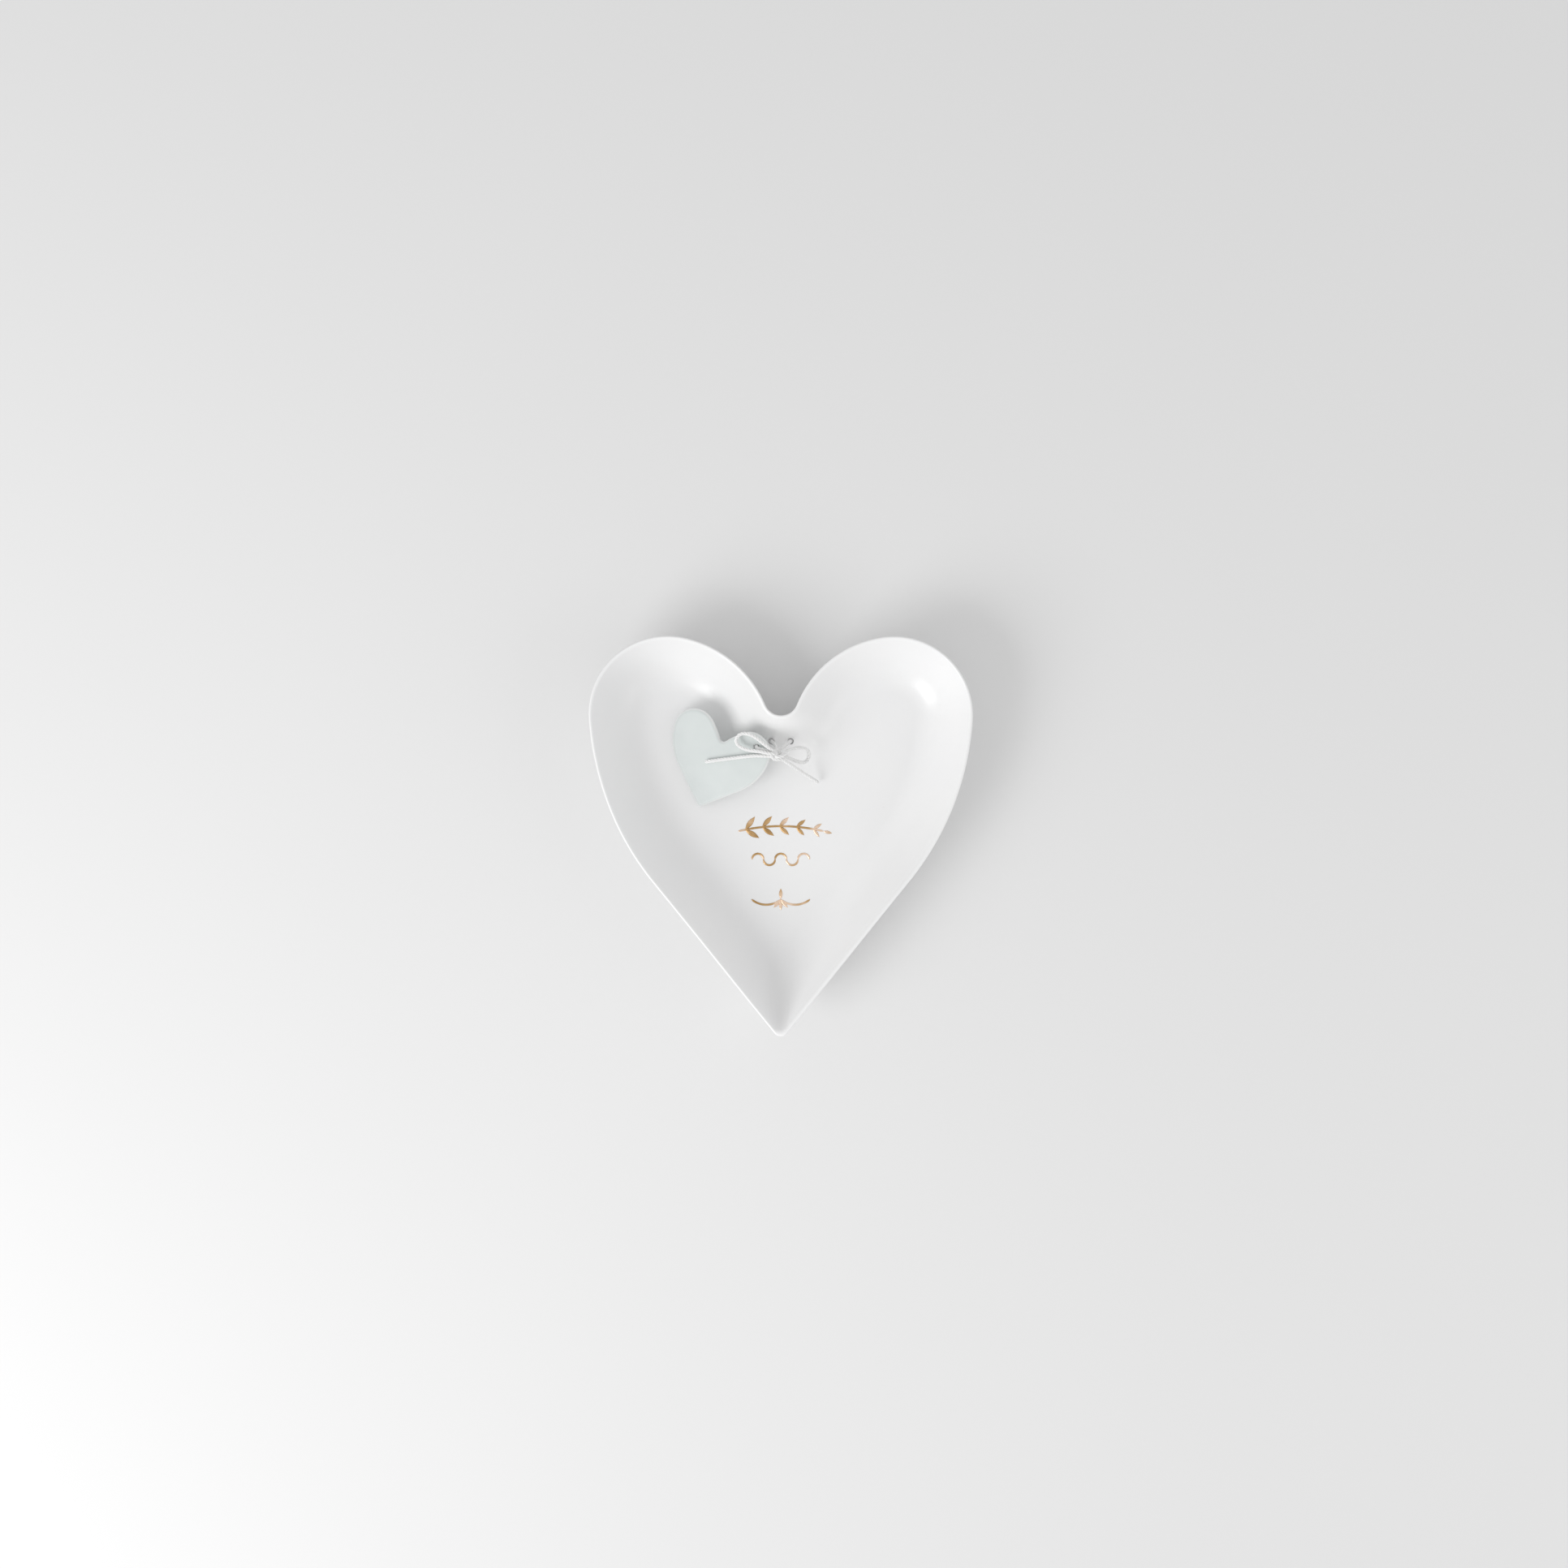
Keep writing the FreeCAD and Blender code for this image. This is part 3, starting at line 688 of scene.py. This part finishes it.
def gold_leaf(mesh, base, heading, length, width):
    """A pointed leaf that starts at base."""
    count = 14
    point_width = 0.00004
    ahead = Vector((math.cos(heading), math.sin(heading)))
    line = [base + ahead * length * step / count for step in range(count + 1)]
    widths = [max(point_width, width * math.sin(math.pi * step / count))
              for step in range(count + 1)]
    gold_band(mesh, line, widths)


def gold_sprig(mesh):
    """A long bent stem with pairs of leaves."""
    radius, centre = 0.060, Vector((0, -0.057))
    half_angle = math.radians(13.5)
    upright = math.pi / 2
    gold_arc(mesh, centre, radius, upright - half_angle, upright + half_angle)
    pairs = 5
    splay = math.radians(42)
    for number in range(pairs):
        angle = upright + half_angle - 2 * half_angle * (number + 0.4) / pairs
        base = arc(centre, radius, angle, angle, 1)[0]
        length = 0.0054 - 0.0005 * number
        for side in (-1, 1):
            heading = angle - upright + side * splay
            gold_leaf(mesh, base, heading, length, width=0.32 * length)
    end = arc(centre, radius, upright - half_angle, upright, 1)[0]
    gold_leaf(mesh, end, -half_angle, length=0.0030, width=0.0011)


def gold_wave(mesh):
    """A small running wave of half rings."""
    radius, rings, row = 0.0019, 5, -0.0080
    for number in range(rings):
        across = (number - (rings - 1) / 2) * 2 * radius
        start = 0.0 if number % 2 == 0 else math.pi
        gold_arc(mesh, Vector((across, row)), radius, start, start + math.pi)


def gold_garland(mesh):
    """Two hanging arcs that meet at a cluster of leaves."""
    row, swag = -0.0155, 0.0075
    half_angle = math.radians(40)
    for side in (-1, 1):
        centre = Vector((side * swag * math.sin(half_angle), row))
        gold_arc(mesh, centre, swag, 1.5 * math.pi - half_angle, 1.5 * math.pi + half_angle)
    joint = Vector((0, row - swag * math.cos(half_angle)))
    for heading in (-90, -50, -130, 90):
        gold_leaf(mesh, joint, math.radians(heading), length=0.0036, width=0.0012)


def make_gold(name, draw):
    """One gold ornament, drawn into a mesh of its own."""
    mesh = bmesh.new()
    draw(mesh)
    bmesh.ops.recalc_face_normals(mesh, faces=mesh.faces)
    return finished(name, mesh)


# --------------------------------------------------------------- materials

def new_material(name):
    """A node material: itself, its nodes, its links and its main shader."""
    material = bpy.data.materials.new(name)
    material.use_nodes = True
    nodes = material.node_tree.nodes
    return material, nodes, material.node_tree.links, nodes["Principled BSDF"]


def noise_at(nodes, links, scale, detail, roughness=0.5):
    """A noise pattern in the object's own space."""
    where = nodes.new("ShaderNodeTexCoord")
    pattern = nodes.new("ShaderNodeTexNoise")
    pattern.inputs["Scale"].default_value = scale
    pattern.inputs["Detail"].default_value = detail
    pattern.inputs["Roughness"].default_value = roughness
    links.new(where.outputs["Object"], pattern.inputs["Vector"])
    return pattern


def ramp(nodes, links, source, stops):
    """Colours or values along a 0 to 1 input; stops are (position, colour)."""
    node = nodes.new("ShaderNodeValToRGB")
    elements = node.color_ramp.elements
    elements[0].position, elements[0].color = stops[0][0], (*stops[0][1], 1)
    elements[1].position, elements[1].color = stops[-1][0], (*stops[-1][1], 1)
    for position, colour in stops[1:-1]:
        elements.new(position).color = (*colour, 1)
    links.new(source, node.inputs["Fac"])
    return node.outputs["Color"]


def spread(nodes, links, source, low, high):
    """Maps 0 to 1 onto low to high."""
    node = nodes.new("ShaderNodeMapRange")
    node.inputs["To Min"].default_value = low
    node.inputs["To Max"].default_value = high
    links.new(source, node.inputs["Value"])
    return node.outputs["Result"]


def bump(nodes, links, source, depth, below=None):
    """A bump of real depth in metres, on top of another one if given."""
    node = nodes.new("ShaderNodeBump")
    node.inputs["Strength"].default_value = 1.0
    node.inputs["Distance"].default_value = depth
    links.new(source, node.inputs["Height"])
    if below is not None:
        links.new(below, node.inputs["Normal"])
    return node.outputs["Normal"]


def mixed(nodes, links, share, first, second):
    """A blend of two colours by a share."""
    node = nodes.new("ShaderNodeMix")
    node.data_type = "RGBA"
    links.new(share, node.inputs["Factor"])
    for socket, value in ((node.inputs[6], first), (node.inputs[7], second)):
        if isinstance(value, tuple):
            socket.default_value = (*value, 1)
        else:
            links.new(value, socket)
    return node.outputs[2]


def porcelain():
    """White gloss glaze, bare and matt on the foot ring."""
    material, nodes, links, shader = new_material("white_glaze")
    clouds = noise_at(nodes, links, scale=34.0, detail=4.0)
    white = ramp(nodes, links, clouds.outputs["Fac"],
                 ((0.3, (0.883, 0.883, 0.887)), (0.7, (0.897, 0.897, 0.896))))
    specks = noise_at(nodes, links, scale=900.0, detail=2.0)
    fleck = ramp(nodes, links, specks.outputs["Fac"],
                 ((0.74, (0, 0, 0)), (0.80, (0.2, 0.2, 0.2))))
    speckled = mixed(nodes, links, fleck, white, (0.70, 0.68, 0.65))
    place = nodes.new("ShaderNodeTexCoord")
    height = nodes.new("ShaderNodeSeparateXYZ")
    links.new(place.outputs["Object"], height.inputs["Vector"])
    foot = nodes.new("ShaderNodeMapRange")
    foot.inputs["From Min"].default_value = 0.00020
    foot.inputs["From Max"].default_value = 0.00034
    foot.inputs["To Min"].default_value = 1.0
    foot.inputs["To Max"].default_value = 0.0
    links.new(height.outputs["Z"], foot.inputs["Value"])
    colour = mixed(nodes, links, foot.outputs["Result"], speckled, (0.78, 0.75, 0.69))
    links.new(colour, shader.inputs["Base Color"])
    sheen = noise_at(nodes, links, scale=60.0, detail=3.0)
    gloss = spread(nodes, links, sheen.outputs["Fac"], low=0.31, high=0.36)
    matt = nodes.new("ShaderNodeMath")
    matt.operation = "MAXIMUM"
    links.new(gloss, matt.inputs[0])
    bare = spread(nodes, links, foot.outputs["Result"], low=0.0, high=0.75)
    links.new(bare, matt.inputs[1])
    links.new(matt.outputs[0], shader.inputs["Roughness"])
    ripple = noise_at(nodes, links, scale=150.0, detail=2.0)
    peel = noise_at(nodes, links, scale=700.0, detail=2.0)
    waves = bump(nodes, links, ripple.outputs["Fac"], depth=0.000012)
    skin = bump(nodes, links, peel.outputs["Fac"], depth=0.000004, below=waves)
    links.new(skin, shader.inputs["Normal"])
    shader.inputs["Coat Weight"].default_value = 0.3
    shader.inputs["Coat Roughness"].default_value = 0.22
    shader.inputs["IOR"].default_value = 1.5
    return material


def mint():
    """Pale mint satin glaze, slightly mottled, and lighter over the edges, where the glaze runs
    thin and a highlight is painted.
    """
    material, nodes, links, shader = new_material("mint_glaze")
    clouds = noise_at(nodes, links, scale=160.0, detail=4.0)
    colour = ramp(nodes, links, clouds.outputs["Fac"],
                  ((0.3, (0.602, 0.643, 0.635)), (0.7, (0.628, 0.668, 0.658))))
    specks = noise_at(nodes, links, scale=1500.0, detail=2.0)
    fleck = ramp(nodes, links, specks.outputs["Fac"],
                 ((0.70, (0, 0, 0)), (0.80, (0.4, 0.4, 0.4))))
    speckled = mixed(nodes, links, fleck, colour, (0.56, 0.65, 0.63))
    # Lighter over the rounded edge: thinner glaze, and a painted highlight there.
    edge = nodes.new("ShaderNodeAttribute")
    edge.attribute_name = "thin_glaze_and_edge_highlight"
    edge_lightening_and_highlight = spread(nodes, links, edge.outputs["Fac"], low=0.0, high=0.8)
    paler = mixed(nodes, links, edge_lightening_and_highlight, speckled, (0.86, 0.87, 0.865))
    links.new(paler, shader.inputs["Base Color"])
    satin = noise_at(nodes, links, scale=260.0, detail=3.0)
    roughness = spread(nodes, links, satin.outputs["Fac"], low=0.30, high=0.46)
    links.new(roughness, shader.inputs["Roughness"])
    grain = noise_at(nodes, links, scale=1100.0, detail=3.0)
    relief = bump(nodes, links, grain.outputs["Fac"], depth=0.00002)
    links.new(relief, shader.inputs["Normal"])
    shader.inputs["Coat Weight"].default_value = 0.25
    shader.inputs["Coat Roughness"].default_value = 0.15
    return material


def cotton():
    """Soft white cotton with fine fibres."""
    material, nodes, links, shader = new_material("white_cord")
    fibres = noise_at(nodes, links, scale=4200.0, detail=4.0, roughness=0.6)
    colour = ramp(nodes, links, fibres.outputs["Fac"],
                  ((0.3, (0.90, 0.90, 0.89)), (0.7, (0.96, 0.96, 0.955))))
    links.new(colour, shader.inputs["Base Color"])
    wear = noise_at(nodes, links, scale=500.0, detail=2.0)
    roughness = spread(nodes, links, wear.outputs["Fac"], low=0.55, high=0.8)
    links.new(roughness, shader.inputs["Roughness"])
    relief = bump(nodes, links, fibres.outputs["Fac"], depth=0.00003)
    links.new(relief, shader.inputs["Normal"])
    shader.inputs["Sheen Weight"].default_value = 0.4
    shader.inputs["Sheen Roughness"].default_value = 0.5
    shader.inputs["Subsurface Weight"].default_value = 0.4
    shader.inputs["Subsurface Radius"].default_value = (1.0, 1.0, 1.0)
    shader.inputs["Subsurface Scale"].default_value = 0.0005
    return material


def gold():
    """Fired gold lustre, from brown gold to pale peach: partly the lustre's own varying colour,
    partly painted reflections of dim and bright surroundings.
    """
    material, nodes, links, shader = new_material("gold_lustre")
    # Patches of brown gold and pale peach: the lustre's varying colour and painted reflections.
    tone_and_painted_reflection = noise_at(nodes, links, scale=150.0, detail=2.0)
    colour = ramp(nodes, links, tone_and_painted_reflection.outputs["Fac"],
                  ((0.36, (0.50, 0.30, 0.12)), (0.52, (0.72, 0.46, 0.22)),
                   (0.66, (0.98, 0.74, 0.56))))
    links.new(colour, shader.inputs["Base Color"])
    wear = noise_at(nodes, links, scale=800.0, detail=3.0)
    roughness = spread(nodes, links, wear.outputs["Fac"], low=0.18, high=0.42)
    links.new(roughness, shader.inputs["Roughness"])
    brush = noise_at(nodes, links, scale=1800.0, detail=2.0)
    relief = bump(nodes, links, brush.outputs["Fac"], depth=0.00001)
    links.new(relief, shader.inputs["Normal"])
    shader.inputs["Metallic"].default_value = 0.9
    return material


def table_top():
    """A plain pale matt surface."""
    material, nodes, links, shader = new_material("table_top")
    clouds = noise_at(nodes, links, scale=3.0, detail=2.0)
    colour = ramp(nodes, links, clouds.outputs["Fac"],
                  ((0.3, (0.80, 0.80, 0.80)), (0.7, (0.81, 0.81, 0.81))))
    links.new(colour, shader.inputs["Base Color"])
    shader.inputs["Roughness"].default_value = 0.75
    shader.inputs["Specular IOR Level"].default_value = 0.2
    return material


# -------------------------------------------------------------- the pieces

def place_piece(piece, body, slot, material, *nodes):
    """Gives a piece its material, the nodes it stands for and its body; the slot is not used.
    """
    piece.data.materials.clear()
    piece.data.materials.append(material)
    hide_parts(*nodes)
    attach(piece, body)


white_glaze = porcelain()
mint_glaze = mint()
white_cord = cotton()
gold_lustre = gold()

dish = make_dish()
place_piece(dish, "dish", "white_glaze", white_glaze, "dish")
tag = make_tag()
place_piece(tag, "tag", "mint_glaze", mint_glaze, "heart_tag")

right_cord, right_line = twisted_cord("cord_right", RIGHT_CORD_ROUTE)
place_piece(right_cord, "dish", "white_cord", white_cord,
            "cord_lacing", "bow_loop_right", "cord_tail_right")
left_cord, left_line = twisted_cord("cord_left", LEFT_CORD_ROUTE)
place_piece(left_cord, "tag", "white_cord", white_cord,
            "cord_tie", "bow_loop_left", "cord_tail_left")
knot, _ = twisted_cord("knot_wrap", knot_route())
place_piece(knot, "knot", "white_cord", white_cord, "bow_knot")

for node, draw in (("gold_sprig", gold_sprig), ("gold_wave", gold_wave),
                   ("gold_garland", gold_garland)):
    ornament = make_gold(f"{node}_lustre", draw)
    place_piece(ornament, "dish", "gold_lustre", gold_lustre, node)

# ---------------------------------------------------------------- the stage

def make_floor():
    """The plain table, far wider than any view."""
    mesh = bmesh.new()
    corners = [mesh.verts.new((x * FLOOR_HALF, y * FLOOR_HALF, 0.0))
               for x, y in ((-1, -1), (1, -1), (1, 1), (-1, 1))]
    mesh.faces.new(corners)
    floor = finished("table_floor", mesh)
    floor.data.materials.append(table_top())


def make_camera():
    """Straight above the dish, with the picture's width at rim height."""
    data = bpy.data.cameras.new("camera")
    data.lens = LENS
    camera = bpy.data.objects.new("camera", data)
    distance = PICTURE_WIDTH * data.lens / data.sensor_width
    camera.location = (*PICTURE_CENTRE, RIM_HEIGHT + distance)
    bpy.context.scene.collection.objects.link(camera)
    bpy.context.scene.camera = camera


def area_light(name, azimuth, elevation, distance, width, height, watts):
    """A soft panel that faces the dish; azimuth 0 is along +X."""
    data = bpy.data.lights.new(name, "AREA")
    data.shape = "RECTANGLE"
    data.size = width
    data.size_y = height
    data.energy = watts
    light = bpy.data.objects.new(name, data)
    turn, rise = math.radians(azimuth), math.radians(elevation)
    back = Vector((math.cos(turn) * math.cos(rise), math.sin(turn) * math.cos(rise),
                   math.sin(rise)))
    light.location = back * distance
    light.rotation_euler = (-back).to_track_quat("-Z", "Y").to_euler()
    bpy.context.scene.collection.objects.link(light)


make_floor()
make_camera()
area_light("window", azimuth=215, elevation=34, distance=0.9, width=0.5, height=0.5,
           watts=3.65)
area_light("bounce", azimuth=-20, elevation=20, distance=0.9, width=0.7, height=0.7,
           watts=1.15)
world = bpy.data.worlds.new("studio")
world.use_nodes = True
sky = world.node_tree.nodes["Background"]
sky.inputs["Color"].default_value = (1, 1, 1, 1)
sky.inputs["Strength"].default_value = 0.70
scene = bpy.context.scene
scene.world = world
scene.view_settings.view_transform = "Standard"
